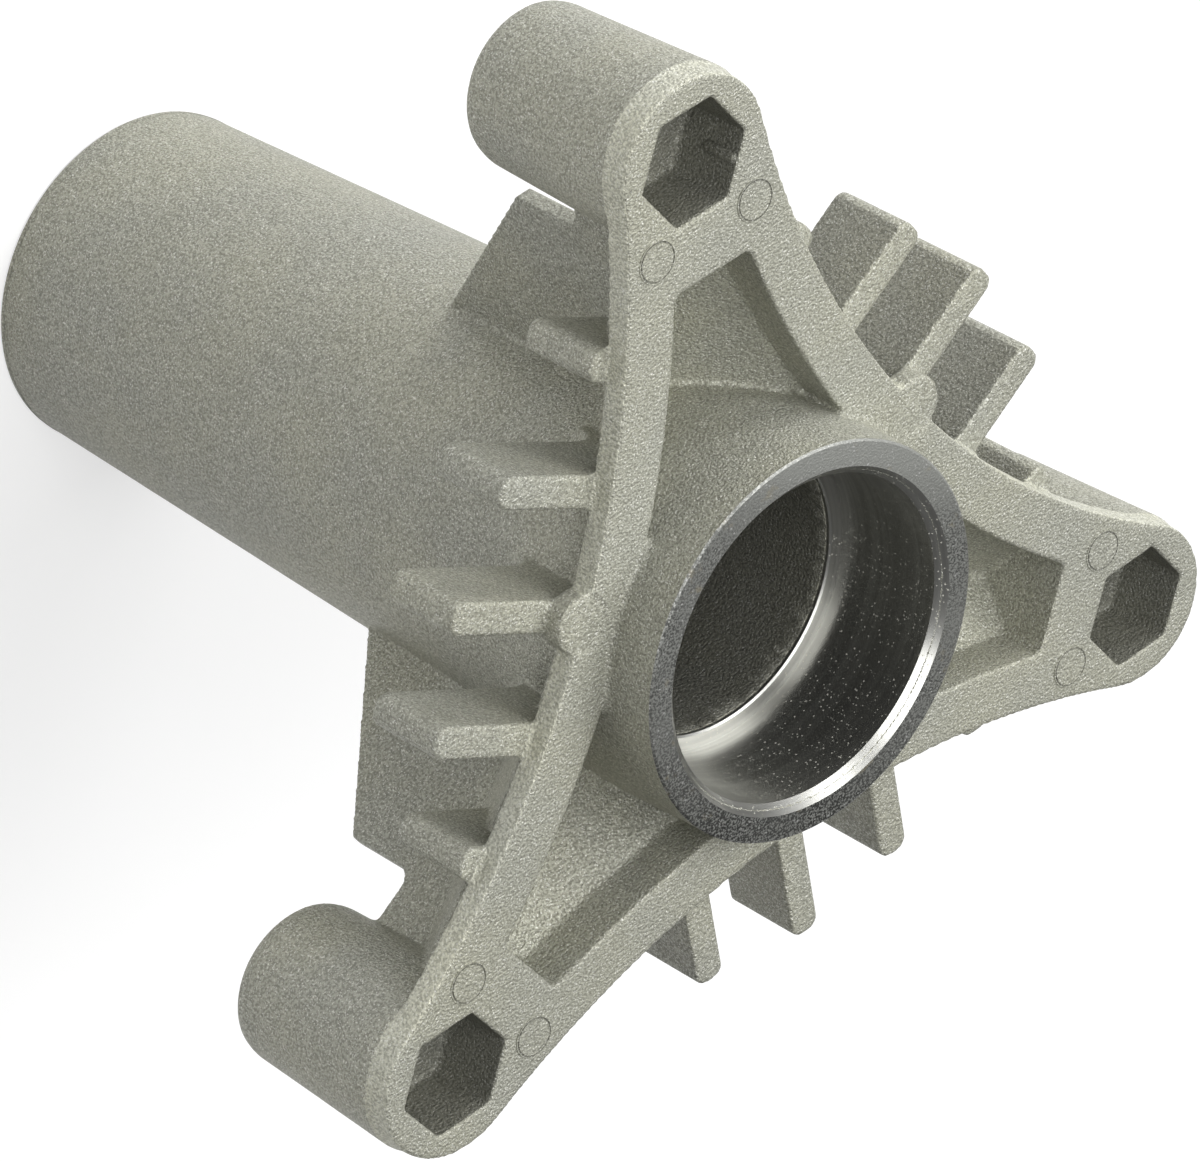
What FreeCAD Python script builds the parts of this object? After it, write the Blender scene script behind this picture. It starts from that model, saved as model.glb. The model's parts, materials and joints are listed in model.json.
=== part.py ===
# Housing of a mower deck spindle: a die-cast aluminium tube with a three-armed
# mounting flange, bored for a bearing at each end. Sizes are in millimetres.
#
# The tube's axis is Z. The part stands on the flat end of its tube, and the origin
# is the centre of that end, where the smaller bearing goes in. The flange, with the
# larger bearing and the three hexagonal pockets, is at the top.
#
# Each arm is built once, pointing along +Y, and each finned side once, facing -Y.
# Polar patterns about Z make the other two.

import FreeCAD, Part
import math
import os
import Sketcher

Vec = FreeCAD.Vector

# Every driving size: name, value, meaning.
SIZES = [
    ("tube_length", 113.5, "end of the tube to the flange face"),
    ("collar_rise", 7.0, "collar above the flange face"),
    ("tube_end_radius", 21.2, "outside of the tube at its end"),
    ("tube_root_radius", 24.9, "outside of the tube at the parting line"),
    ("parting_drop", 6.3, "parting line below the flange face"),
    ("collar_radius", 24.35, "outside of the collar at its face"),
    ("end_bevel", 0.3, "bevel round the end of the tube"),
    ("seat_radius", 20.0, "bearing seat in the collar"),
    ("seat_depth", 16.5, "collar face to the seat's shoulder"),
    ("seat_lead", 1.2, "lead-in bevel of that seat"),
    ("core_radius", 18.15, "cast bore at the seat's shoulder"),
    ("core_end_radius", 16.3, "cast bore at the far seat's shoulder"),
    ("end_seat_radius", 17.5, "bearing seat in the end of the tube"),
    ("end_seat_depth", 13.0, "end of the tube to that seat's shoulder"),
    ("boss_circle", 62.3, "axis to the centre of each boss"),
    ("side_reach", 29.5, "axis to the middle of each concave side"),
    ("nose_radius", 10.25, "flange outline round each boss"),
    ("lip_thick", 3.0, "thickness of the flange's edge"),
    ("lip_draft", 5.0, "draft of the flange's edge, degrees"),
    ("rim_width", 6.9, "width of the flat rim beside a pocket"),
    ("wall", 2.6, "wall of an arm behind the lip"),
    ("pocket_end", 47.6, "axis to the end wall of an arm's pocket"),
    ("pocket_depth", 6.3, "flange face to the pocket's ledge"),
    ("pocket_corner", 1.0, "round in the pocket's corners"),
    ("ledge_half", 5.5, "half width of the valley at the pocket's end"),
    ("valley_half", 0.45, "half width of the valley's bottom"),
    ("valley_angle", 46.5, "slope of the valley's sides, degrees"),
    ("spread_angle", 14.8, "how the valley widens to the axis, degrees"),
    ("keel_reach", 55.0, "axis to where an arm's back ends in its boss"),
    ("boss_radius", 10.7, "boss behind the lip"),
    ("boss_end_radius", 9.9, "boss at its end"),
    ("boss_length", 28.0, "flange face to the end of a boss"),
    ("boss_round", 2.4, "round at the end of a boss"),
    ("hex_flats", 13.2, "hexagonal pocket across its flats"),
    ("hex_depth", 9.5, "depth of the hexagonal pocket"),
    ("screw_radius", 3.45, "hole in the back of a boss"),
    ("screw_depth", 15.5, "depth of that hole"),
    ("web_thick", 2.2, "web from the tube to a boss"),
    ("web_root_drop", 48.7, "flange face to the web's end on the tube"),
    ("web_reach", 45.4, "axis to the web's step"),
    ("web_back_drop", 32.2, "flange face to the back of the step"),
    ("web_shelf_drop", 21.9, "flange face to the web's shelf beside the boss"),
    ("web_round", 2.0, "round between the step and the shelf"),
    ("fin_reach", 47.0, "axis to the tips of the long fins"),
    ("fin_thick", 4.0, "thickness of a fin"),
    ("fin_round", 1.5, "round of a fin's two tip corners"),
    ("fin_pitch", 14.7, "spacing of the fins"),
    ("short_fin_reach", 35.9, "axis plane to the tips of the short fins"),
    ("fin_front_drop", 2.8, "flange face to the front of the fins"),
    ("fin_back_drop", 13.6, "flange face to the back of the fins"),
    ("fin_root_round", 4.5, "round from the back of a long fin to the tube"),
    ("pad_radius", 3.6, "ejector pad at the middle of a side"),
    ("core_start", 20.0, "axis to where keels, valleys and webs start"),
    ("fin_start", 15.0, "axis plane to where the fins start"),
]
S = {name: value for name, value, meaning in SIZES}

ARMS = 3
# From world X to the middle of the side between two arms, in degrees.
SIDE_ANGLE = 30
# Less than this is no cut, in cubic millimetres.
LEAST_CUT = 1.0

doc = FreeCAD.newDocument("SpindleHousing")
sheet = doc.addObject("Spreadsheet::Sheet", "Sizes")
for row, (name, value, meaning) in enumerate(SIZES, start=1):
    sheet.set("A%d" % row, meaning)
    sheet.set("B%d" % row, str(value))
    sheet.setAlias("B%d" % row, name)
doc.recompute()

body = doc.addObject("PartDesign::Body", "SpindleHousing")
body.Label = "spindle_housing"
ORIGIN = {item.Role: item for item in body.Origin.OriginFeatures}


def size(text):
    """Turn 'a + b' into an expression on the sheet: each name gets its sheet."""
    out = []
    word = ""
    for char in text + " ":
        if char.isalnum() or char == "_":
            word += char
            continue
        out.append("Sizes." + word if word in S else word)
        word = ""
        out.append(char)
    return "".join(out).strip()


def new_sketch(name, plane, lift=None):
    """A sketch on one of the body's planes, lifted along that plane's normal."""
    sketch = body.newObject("Sketcher::SketchObject", name)
    sketch.AttachmentSupport = [(ORIGIN[plane], "")]
    sketch.MapMode = "FlatFace"
    if lift:
        sketch.setExpression(".AttachmentOffset.Base.z", size(lift))
    return sketch


def bind(sketch, constraint, text):
    """Add a dimension and bind it to the sheet."""
    index = sketch.addConstraint(constraint)
    sketch.setExpression("Constraints[%d]" % index, size(text))


def at(sketch, geo, end, x, y):
    """Put a point at two named coordinates: each a pair of number and formula."""
    for kind, axis, (number, text) in (("DistanceX", -2, x), ("DistanceY", -1, y)):
        if text == "0":
            sketch.addConstraint(Sketcher.Constraint("PointOnObject", geo, end, axis))
        else:
            bind(sketch, Sketcher.Constraint(kind, geo, end, number), text)


def outline(sketch, points):
    """A closed outline of straight lines through named points."""
    count = len(points)
    for i in range(count):
        x0, y0 = points[i][0][0], points[i][1][0]
        x1, y1 = points[(i + 1) % count][0][0], points[(i + 1) % count][1][0]
        sketch.addGeometry(Part.LineSegment(Vec(x0, y0, 0), Vec(x1, y1, 0)), False)
    for i in range(count):
        sketch.addConstraint(Sketcher.Constraint("Coincident", i, 2, (i + 1) % count, 1))
    for i, (x, y) in enumerate(points):
        at(sketch, i, 1, x, y)


def arc(centre, radius, start, end):
    """An arc from one point to another about a centre, anticlockwise."""
    a = math.atan2(start.y - centre.y, start.x - centre.x)
    b = math.atan2(end.y - centre.y, end.x - centre.x)
    return Part.ArcOfCircle(Part.Circle(centre, Vec(0, 0, 1), radius), a, b)


def polar(feature, count=ARMS, turn=360):
    """Repeat a feature about the tube's axis, for the three arms or sides."""
    pattern = body.newObject("PartDesign::PolarPattern", feature.Name + "Pattern")
    pattern.Originals = [feature]
    pattern.Axis = (ORIGIN["Z_Axis"], [""])
    pattern.Angle = turn
    pattern.Occurrences = count
    body.Tip = pattern
    doc.recompute()
    return pattern


def side_arc_radius(reach, nose):
    """Radius of the concave side that is tangent to the arcs round two bosses."""
    half = 0.5 * S["boss_circle"]
    across = math.sqrt(3) * half
    top = across ** 2 + (reach - half) ** 2 - nose ** 2
    return top / (2 * (nose + half - reach))


DIR = Vec(math.cos(math.radians(SIDE_ANGLE)), math.sin(math.radians(SIDE_ANGLE)), 0)


def mirror(point):
    return Vec(-point.x, point.y, 0)


def arm_outline(sketch, inset):
    """One third of the flange's outline, set in by some named amount: two concave
    arcs that run tangent into the arc round the boss."""
    drop = sum(S[name] * sign for name, sign in inset)
    text = "".join(" %s %s" % ("-" if sign < 0 else "+", name) for name, sign in inset)
    reach = S["side_reach"] + drop
    nose = S["nose_radius"] + drop
    radius = side_arc_radius(reach, nose)
    boss = Vec(0, S["boss_circle"], 0)
    centre = DIR * (reach + radius)
    side = DIR * reach
    touch = boss + (centre - boss).normalize() * nose
    origin = Vec(0, 0, 0)
    sketch.addGeometry(Part.LineSegment(origin, side), False)
    sketch.addGeometry(arc(centre, radius, touch, side), False)
    sketch.addGeometry(arc(boss, nose, touch, mirror(touch)), False)
    sketch.addGeometry(arc(mirror(centre), radius, mirror(side), mirror(touch)), False)
    sketch.addGeometry(Part.LineSegment(mirror(side), origin), False)
    add = sketch.addConstraint
    add(Sketcher.Constraint("Coincident", 0, 1, -1, 1))
    add(Sketcher.Constraint("Coincident", 4, 2, -1, 1))
    add(Sketcher.Constraint("Coincident", 0, 2, 1, 2))
    add(Sketcher.Constraint("Coincident", 4, 1, 3, 1))
    add(Sketcher.Constraint("Tangent", 1, 1, 2, 1))
    add(Sketcher.Constraint("Tangent", 3, 2, 2, 2))
    add(Sketcher.Constraint("Angle", -1, 1, 0, 1, math.radians(SIDE_ANGLE)))
    add(Sketcher.Constraint("Symmetric", 0, 2, 4, 1, -2))
    add(Sketcher.Constraint("PointOnObject", 1, 3, 0))
    add(Sketcher.Constraint("PointOnObject", 3, 3, 4))
    at(sketch, 2, 3, (0.0, "0"), (S["boss_circle"], "boss_circle"))
    bind(sketch, Sketcher.Constraint("Distance", 0, reach), "side_reach" + text)
    bind(sketch, Sketcher.Constraint("Radius", 2, nose), "nose_radius" + text)


def pad(name, sketch, length, down=True):
    feature = body.newObject("PartDesign::Pad", name)
    feature.Profile = sketch
    feature.Reversed = down
    feature.setExpression("Length", size(length))
    body.Tip = feature
    return feature


def cut(name, sketch, length, up=False):
    """A pocket that cuts downwards, or upwards with up, by a named depth."""
    before = body.Shape.Volume
    feature = body.newObject("PartDesign::Pocket", name)
    feature.Profile = sketch
    feature.Reversed = up
    feature.setExpression("Length", size(length))
    body.Tip = feature
    doc.recompute()
    if not body.Shape.Volume < before - LEAST_CUT:
        raise RuntimeError("%s cuts nothing" % name)
    return feature


# The lip: the thin flange with the full outline, drafted outwards to the back.
lip_sketch = new_sketch("LipOutline", "XY_Plane", "tube_length")
arm_outline(lip_sketch, [])
lip = pad("Lip", lip_sketch, "lip_thick")
lip.setExpression("TaperAngle", size("lip_draft"))
doc.recompute()
polar(lip)

# The arms' side walls behind the lip, set in so that the lip overhangs them.
INSET = [("rim_width", -1), ("wall", 1)]
VALLEY_TAN = math.tan(math.radians(S["valley_angle"]))
SPREAD_TAN = math.tan(math.radians(S["spread_angle"]))
# Where the wall's outer face turns into the keel, below the pocket's ledge.
WALL_DEPTH = "pocket_depth + wall * (1 / cos(valley_angle * 1 deg) - tan(valley_angle * 1 deg))"
wall_depth = S["pocket_depth"] + S["wall"] * (
    1 / math.cos(math.radians(S["valley_angle"])) - VALLEY_TAN)

wall_sketch = new_sketch("WallOutline", "XY_Plane", "tube_length")
arm_outline(wall_sketch, INSET)
walls = pad("ArmWalls", wall_sketch, WALL_DEPTH)
doc.recompute()
polar(walls)


# The valley in an arm's pocket and the keel behind it share their stations along
# the arm: half width at the ledge, and depth of the bottom, at a distance from Z.
def ledge_half(station):
    number = S["ledge_half"] + (S["pocket_end"] - S[station]) * SPREAD_TAN
    text = "(ledge_half + (pocket_end - %s) * tan(spread_angle * 1 deg))" % station
    return number, text


def valley_depth(station):
    half, half_text = ledge_half(station)
    number = S["pocket_depth"] + (half - S["valley_half"]) * VALLEY_TAN
    text = "(pocket_depth + (%s - valley_half) * tan(valley_angle * 1 deg))" % half_text
    return number, text


def below_face(pair):
    """A depth under the flange face, as a height above the tube's end."""
    return S["tube_length"] - pair[0], "tube_length - " + pair[1]


def minus(pair):
    return -pair[0], "-" + pair[1]


def station_sketch(name, station):
    """A sketch across the arm: its X is world X and its Y is world Z."""
    return new_sketch(name, "XZ_Plane", "-" + station)


def keel_section(name, station):
    sketch = station_sketch(name, station)
    half = ledge_half(station)
    outer = (half[0] + S["wall"], "(%s + wall)" % half[1])
    web = (0.5 * S["web_thick"], "(web_thick / 2)")
    deep = valley_depth(station)
    skin = S["wall"] / math.cos(math.radians(S["valley_angle"]))
    rise = (web[0] - S["valley_half"]) * VALLEY_TAN
    apex = (deep[0] + skin - rise,
            "(%s + wall / cos(valley_angle * 1 deg)"
            " - (web_thick / 2 - valley_half) * tan(valley_angle * 1 deg))" % deep[1])
    top = below_face((S["lip_thick"], "lip_thick"))
    turn = below_face((wall_depth, "(" + WALL_DEPTH + ")"))
    foot = below_face(apex)
    outline(sketch, [(minus(outer), top), (minus(outer), turn), (minus(web), foot),
                     (web, foot), (outer, turn), (outer, top)])
    return sketch


def valley_section(name, station):
    sketch = station_sketch(name, station)
    half = ledge_half(station)
    strip = (S["valley_half"], "valley_half")
    top = below_face((S["pocket_depth"], "pocket_depth"))
    foot = below_face(valley_depth(station))
    outline(sketch, [(minus(half), top), (minus(strip), foot), (strip, foot), (half, top)])
    return sketch


# The keel: the back of an arm, a V that deepens towards the tube.
keel = body.newObject("PartDesign::AdditiveLoft", "Keel")
keel.Profile = keel_section("KeelAtTube", "core_start")
keel.Sections = [keel_section("KeelAtBoss", "keel_reach")]
keel.Ruled = True
body.Tip = keel
doc.recompute()
polar(keel)

# The tube's outside radius at a depth under the flange face.
def tube_radius(name):
    taper = S["tube_root_radius"] - S["tube_end_radius"]
    run = S["tube_length"] - S["parting_drop"]
    number = S["tube_root_radius"] - taper * (S[name] - S["parting_drop"]) / run
    text = ("(tube_root_radius - (tube_root_radius - tube_end_radius)"
            " * (%s - parting_drop) / (tube_length - parting_drop))" % name)
    return number, text


# The web: a thin gusset in the middle of the arm, from the tube to the boss. Its
# back edge slopes from the tube, steps forward and runs out to the boss as a shelf.
web_sketch = new_sketch("WebOutline", "YZ_Plane")
root = tube_radius("web_root_drop")
slope = "((web_root_drop - web_back_drop) / (web_reach - %s))" % root[1]
slope_number = (S["web_root_drop"] - S["web_back_drop"]) / (S["web_reach"] - root[0])
start = (S["core_start"], "core_start")
inner = (S["web_root_drop"] + (root[0] - S["core_start"]) * slope_number,
         "(web_root_drop + (%s - core_start) * %s)" % (root[1], slope))
reach = (S["web_reach"], "web_reach")
far = (S["boss_circle"], "boss_circle")
front = below_face((S["lip_thick"], "lip_thick"))
back = below_face((S["web_back_drop"], "web_back_drop"))
shelf = below_face((S["web_shelf_drop"], "web_shelf_drop"))
bend = S["web_round"]
corner = Vec(reach[0] + bend, shelf[0] - bend, 0)
on_step = Vec(reach[0], corner.y, 0)
on_shelf = Vec(corner.x, shelf[0], 0)
p = [Vec(start[0], front[0], 0), Vec(start[0], S["tube_length"] - inner[0], 0),
     Vec(reach[0], back[0], 0), Vec(far[0], shelf[0], 0), Vec(far[0], front[0], 0)]
web_sketch.addGeometry(Part.LineSegment(p[0], p[1]), False)
web_sketch.addGeometry(Part.LineSegment(p[1], p[2]), False)
web_sketch.addGeometry(Part.LineSegment(p[2], on_step), False)
web_sketch.addGeometry(arc(corner, bend, on_shelf, on_step), False)
web_sketch.addGeometry(Part.LineSegment(on_shelf, p[3]), False)
web_sketch.addGeometry(Part.LineSegment(p[3], p[4]), False)
web_sketch.addGeometry(Part.LineSegment(p[4], p[0]), False)
add = web_sketch.addConstraint
add(Sketcher.Constraint("Coincident", 0, 2, 1, 1))
add(Sketcher.Constraint("Coincident", 1, 2, 2, 1))
add(Sketcher.Constraint("Tangent", 2, 2, 3, 2))
add(Sketcher.Constraint("Tangent", 3, 1, 4, 1))
add(Sketcher.Constraint("Coincident", 4, 2, 5, 1))
add(Sketcher.Constraint("Coincident", 5, 2, 6, 1))
add(Sketcher.Constraint("Coincident", 6, 2, 0, 1))
add(Sketcher.Constraint("Vertical", 0))
add(Sketcher.Constraint("Vertical", 2))
add(Sketcher.Constraint("Horizontal", 4))
add(Sketcher.Constraint("Vertical", 5))
add(Sketcher.Constraint("Horizontal", 6))
at(web_sketch, 0, 1, start, front)
bind(web_sketch, Sketcher.Constraint("DistanceY", 0, 2, p[1].y), "tube_length - " + inner[1])
at(web_sketch, 1, 2, reach, back)
at(web_sketch, 4, 2, far, shelf)
bind(web_sketch, Sketcher.Constraint("Radius", 3, bend), "web_round")
web = pad("Web", web_sketch, "web_thick", down=False)
web.Midplane = True
doc.recompute()
polar(web)

# The fins on one side: three long ones whose tips lie on a circle about the axis,
# and a short one by each arm. The two corners of each tip are round.
fin_sketch = new_sketch("FinOutlines", "XY_Plane", "tube_length - fin_front_drop")
half = S["fin_thick"] / 2
bend = S["fin_round"]
for index, step in enumerate((-2, -1, 0, 1, 2)):
    x = step * S["fin_pitch"]
    if abs(step) == 2:
        tip = S["short_fin_reach"]
        tip_text = "short_fin_reach"
    else:
        tip = math.sqrt(S["fin_reach"] ** 2 - x ** 2)
        tip_text = "sqrt(fin_reach ^ 2 - (%d * fin_pitch) ^ 2)" % step
    root = -S["fin_start"]
    base = 6 * index
    left, right = x - half, x + half
    corners = [Vec(left + bend, bend - tip, 0), Vec(right - bend, bend - tip, 0)]
    p = [Vec(left, root, 0), Vec(left, bend - tip, 0), Vec(left + bend, -tip, 0),
         Vec(right - bend, -tip, 0), Vec(right, bend - tip, 0), Vec(right, root, 0)]
    fin_sketch.addGeometry(Part.LineSegment(p[0], p[1]), False)
    fin_sketch.addGeometry(arc(corners[0], bend, p[1], p[2]), False)
    fin_sketch.addGeometry(Part.LineSegment(p[2], p[3]), False)
    fin_sketch.addGeometry(arc(corners[1], bend, p[3], p[4]), False)
    fin_sketch.addGeometry(Part.LineSegment(p[4], p[5]), False)
    fin_sketch.addGeometry(Part.LineSegment(p[5], p[0]), False)
    add = fin_sketch.addConstraint
    for k in range(4):
        add(Sketcher.Constraint("Tangent", base + k, 2, base + k + 1, 1))
    add(Sketcher.Constraint("Coincident", base + 4, 2, base + 5, 1))
    add(Sketcher.Constraint("Coincident", base + 5, 2, base, 1))
    add(Sketcher.Constraint("Vertical", base))
    add(Sketcher.Constraint("Vertical", base + 4))
    add(Sketcher.Constraint("Horizontal", base + 2))
    add(Sketcher.Constraint("Horizontal", base + 5))
    add(Sketcher.Constraint("Equal", base + 1, base + 3))
    bind(fin_sketch, Sketcher.Constraint("Radius", base + 1, bend), "fin_round")
    bind(fin_sketch, Sketcher.Constraint("DistanceX", base, 1, left),
         "%d * fin_pitch - fin_thick / 2" % step)
    bind(fin_sketch, Sketcher.Constraint("DistanceX", base + 4, 2, right),
         "%d * fin_pitch + fin_thick / 2" % step)
    bind(fin_sketch, Sketcher.Constraint("DistanceY", base + 2, 1, -tip), "-" + tip_text)
    bind(fin_sketch, Sketcher.Constraint("DistanceY", base, 1, root), "-fin_start")
fins = pad("Fins", fin_sketch, "fin_back_drop - fin_front_drop")
doc.recompute()
polar(fins)

# Behind each long fin its back edge runs into the tube in a hollow round.
bend = S["fin_root_round"]
radius = tube_radius("fin_back_drop")
for step, name in ((-1, "FinRootA"), (0, "FinRootB"), (1, "FinRootC")):
    lift = "%d * fin_pitch" % step if step else None
    root_sketch = new_sketch(name + "Profile", "YZ_Plane", lift)
    skin = -math.sqrt(radius[0] ** 2 - (step * S["fin_pitch"]) ** 2)
    skin_text = "sqrt(%s ^ 2 - (%d * fin_pitch) ^ 2)" % (radius[1], step)
    top = S["tube_length"] - S["fin_back_drop"]
    inside = -S["fin_start"]
    centre = Vec(skin - bend, top - bend, 0)
    on_fin = Vec(centre.x, top, 0)
    on_tube = Vec(skin, centre.y, 0)
    p = [Vec(inside, top, 0), Vec(inside, centre.y, 0)]
    root_sketch.addGeometry(Part.LineSegment(p[0], on_fin), False)
    root_sketch.addGeometry(arc(centre, bend, on_tube, on_fin), False)
    root_sketch.addGeometry(Part.LineSegment(on_tube, p[1]), False)
    root_sketch.addGeometry(Part.LineSegment(p[1], p[0]), False)
    add = root_sketch.addConstraint
    add(Sketcher.Constraint("Tangent", 0, 2, 1, 2))
    add(Sketcher.Constraint("Coincident", 1, 1, 2, 1))
    add(Sketcher.Constraint("Coincident", 2, 2, 3, 1))
    add(Sketcher.Constraint("Coincident", 3, 2, 0, 1))
    add(Sketcher.Constraint("Horizontal", 0))
    add(Sketcher.Constraint("Horizontal", 2))
    add(Sketcher.Constraint("Vertical", 3))
    add(Sketcher.Constraint("Horizontal", 1, 3, 1, 1))
    bind(root_sketch, Sketcher.Constraint("Radius", 1, bend), "fin_root_round")
    bind(root_sketch, Sketcher.Constraint("DistanceX", 1, 1, skin), "-" + skin_text)
    at(root_sketch, 0, 1, (inside, "-fin_start"), (top, "tube_length - fin_back_drop"))
    root_pad = pad(name, root_sketch, "fin_thick", down=False)
    root_pad.Midplane = True
    doc.recompute()
    polar(root_pad)

# The ejector pads on the edge at the middle of two of the sides.
pad_sketch = new_sketch("PadOutline", "XY_Plane", "tube_length")
spot = DIR * S["side_reach"]
pad_sketch.addGeometry(Part.Circle(spot, Vec(0, 0, 1), S["pad_radius"]), False)
at(pad_sketch, 0, 3, (spot.x, "side_reach * cos(30 deg)"), (spot.y, "side_reach * sin(30 deg)"))
bind(pad_sketch, Sketcher.Constraint("Radius", 0, S["pad_radius"]), "pad_radius")
pads = pad("EjectorPad", pad_sketch, "lip_thick")
doc.recompute()
polar(pads, 2, 120)

# A boss: a drafted stub behind the lip, turned about its own axis. The round at its
# end is drawn in three flats.
boss_sketch = new_sketch("BossProfile", "YZ_Plane")
axis_y = (S["boss_circle"], "boss_circle")
front_z = below_face((S["lip_thick"], "lip_thick"))
end_z = below_face((S["boss_length"], "boss_length"))
round_y = S["boss_circle"] - S["boss_end_radius"] + S["boss_round"]
round_z = end_z[0] + S["boss_round"]
boss_points = [(axis_y, front_z),
               ((S["boss_circle"] - S["boss_radius"], "boss_circle - boss_radius"), front_z)]
for angle in (0, 30, 60, 90):
    along = S["boss_round"] * math.cos(math.radians(angle))
    deep = S["boss_round"] * math.sin(math.radians(angle))
    boss_points.append((
        (round_y - along,
         "boss_circle - boss_end_radius + boss_round * (1 - cos(%d deg))" % angle),
        (round_z - deep,
         "tube_length - boss_length + boss_round * (1 - sin(%d deg))" % angle)))
boss_points.append((axis_y, end_z))
outline(boss_sketch, boss_points)
boss = body.newObject("PartDesign::Revolution", "Boss")
boss.Profile = boss_sketch
boss.ReferenceAxis = (boss_sketch, ["Edge%d" % len(boss_points)])
boss.Angle = 360
body.Tip = boss
doc.recompute()
polar(boss)

# The pocket in an arm, down to a narrow ledge along its walls. The tube, added
# later, closes its inner end.
pocket_sketch = new_sketch("PocketOutline", "XY_Plane", "tube_length")
side_radius = side_arc_radius(S["side_reach"], S["nose_radius"])
SIDE_RADIUS = ("((0.75 * boss_circle ^ 2 + (side_reach - boss_circle / 2) ^ 2"
               " - nose_radius ^ 2) / (2 * (nose_radius + boss_circle / 2 - side_reach)))")
reach = S["side_reach"] - S["rim_width"]
radius = side_radius + S["rim_width"]
centre = DIR * (reach + radius)
end_y = S["pocket_end"]
end_x = centre.x - math.sqrt(radius ** 2 - (end_y - centre.y) ** 2)
bend = S["pocket_corner"]
# The corner's arc touches the end wall and the side wall from inside.
mid = Vec(centre.x - math.sqrt((radius + bend) ** 2 - (end_y - bend - centre.y) ** 2),
          end_y - bend, 0)
on_side = mid + (centre - mid).normalize() * bend
on_end = Vec(mid.x, end_y, 0)
side = DIR * reach
origin = Vec(0, 0, 0)
pocket_sketch.addGeometry(Part.LineSegment(origin, side), False)
pocket_sketch.addGeometry(arc(centre, radius, on_side, side), False)
pocket_sketch.addGeometry(arc(mid, bend, on_side, on_end), False)
pocket_sketch.addGeometry(Part.LineSegment(on_end, mirror(on_end)), False)
pocket_sketch.addGeometry(arc(mirror(mid), bend, mirror(on_end), mirror(on_side)), False)
pocket_sketch.addGeometry(arc(mirror(centre), radius, mirror(side), mirror(on_side)), False)
pocket_sketch.addGeometry(Part.LineSegment(mirror(side), origin), False)
add = pocket_sketch.addConstraint
add(Sketcher.Constraint("Coincident", 0, 1, -1, 1))
add(Sketcher.Constraint("Coincident", 6, 2, -1, 1))
add(Sketcher.Constraint("Coincident", 0, 2, 1, 2))
add(Sketcher.Constraint("Coincident", 6, 1, 5, 1))
add(Sketcher.Constraint("Tangent", 1, 1, 2, 1))
add(Sketcher.Constraint("Tangent", 2, 2, 3, 1))
add(Sketcher.Constraint("Tangent", 3, 2, 4, 1))
add(Sketcher.Constraint("Tangent", 4, 2, 5, 2))
add(Sketcher.Constraint("Horizontal", 3))
add(Sketcher.Constraint("Angle", -1, 1, 0, 1, math.radians(SIDE_ANGLE)))
add(Sketcher.Constraint("Symmetric", 0, 2, 6, 1, -2))
add(Sketcher.Constraint("PointOnObject", 1, 3, 0))
add(Sketcher.Constraint("PointOnObject", 5, 3, 6))
add(Sketcher.Constraint("Equal", 2, 4))
bind(pocket_sketch, Sketcher.Constraint("Distance", 0, reach), "side_reach - rim_width")
bind(pocket_sketch, Sketcher.Constraint("Radius", 1, radius), SIDE_RADIUS + " + rim_width")
bind(pocket_sketch, Sketcher.Constraint("Radius", 5, radius), SIDE_RADIUS + " + rim_width")
bind(pocket_sketch, Sketcher.Constraint("Radius", 2, bend), "pocket_corner")
bind(pocket_sketch, Sketcher.Constraint("DistanceY", 3, 1, end_y), "pocket_end")
polar(cut("ArmPocket", pocket_sketch, "pocket_depth"))

# The valley in the pocket's floor, over the keel.
before = body.Shape.Volume
valley = body.newObject("PartDesign::SubtractiveLoft", "Valley")
valley.Profile = valley_section("ValleyAtTube", "core_start")
valley.Sections = [valley_section("ValleyAtEnd", "pocket_end")]
valley.Ruled = True
body.Tip = valley
doc.recompute()
if not body.Shape.Volume < before - LEAST_CUT:
    raise RuntimeError("the valley cuts nothing")
polar(valley)

# The tube and its collar: drafted both ways from the parting line.
tube_sketch = new_sketch("TubeProfile", "YZ_Plane")
length = S["tube_length"]
top_z = length + S["collar_rise"]
zero = (0.0, "0")
bevel_r = (S["tube_end_radius"] - S["end_bevel"], "tube_end_radius - end_bevel")
outline(tube_sketch, [
    (zero, zero),
    (bevel_r, zero),
    ((S["tube_end_radius"], "tube_end_radius"), (S["end_bevel"], "end_bevel")),
    ((S["tube_root_radius"], "tube_root_radius"),
     (length - S["parting_drop"], "tube_length - parting_drop")),
    ((S["collar_radius"], "collar_radius"), (top_z, "tube_length + collar_rise")),
    (zero, (top_z, "tube_length + collar_rise"))])
tube = body.newObject("PartDesign::Revolution", "Tube")
tube.Profile = tube_sketch
tube.ReferenceAxis = (ORIGIN["Z_Axis"], [""])
tube.Angle = 360
body.Tip = tube
doc.recompute()

# The bore: a bearing seat at each end, the upper one with a lead-in, and the cast
# core between them.
bore_sketch = new_sketch("BoreProfile", "YZ_Plane")
lead = S["seat_lead"]
seat_z = top_z - S["seat_depth"]
outline(bore_sketch, [
    (zero, zero),
    ((S["end_seat_radius"], "end_seat_radius"), zero),
    ((S["end_seat_radius"], "end_seat_radius"), (S["end_seat_depth"], "end_seat_depth")),
    ((S["core_end_radius"], "core_end_radius"), (S["end_seat_depth"], "end_seat_depth")),
    ((S["core_radius"], "core_radius"), (seat_z, "tube_length + collar_rise - seat_depth")),
    ((S["seat_radius"], "seat_radius"), (seat_z, "tube_length + collar_rise - seat_depth")),
    ((S["seat_radius"], "seat_radius"), (top_z - lead, "tube_length + collar_rise - seat_lead")),
    ((S["seat_radius"] + lead, "seat_radius + seat_lead"),
     (top_z, "tube_length + collar_rise")),
    (zero, (top_z, "tube_length + collar_rise"))])
before = body.Shape.Volume
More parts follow.
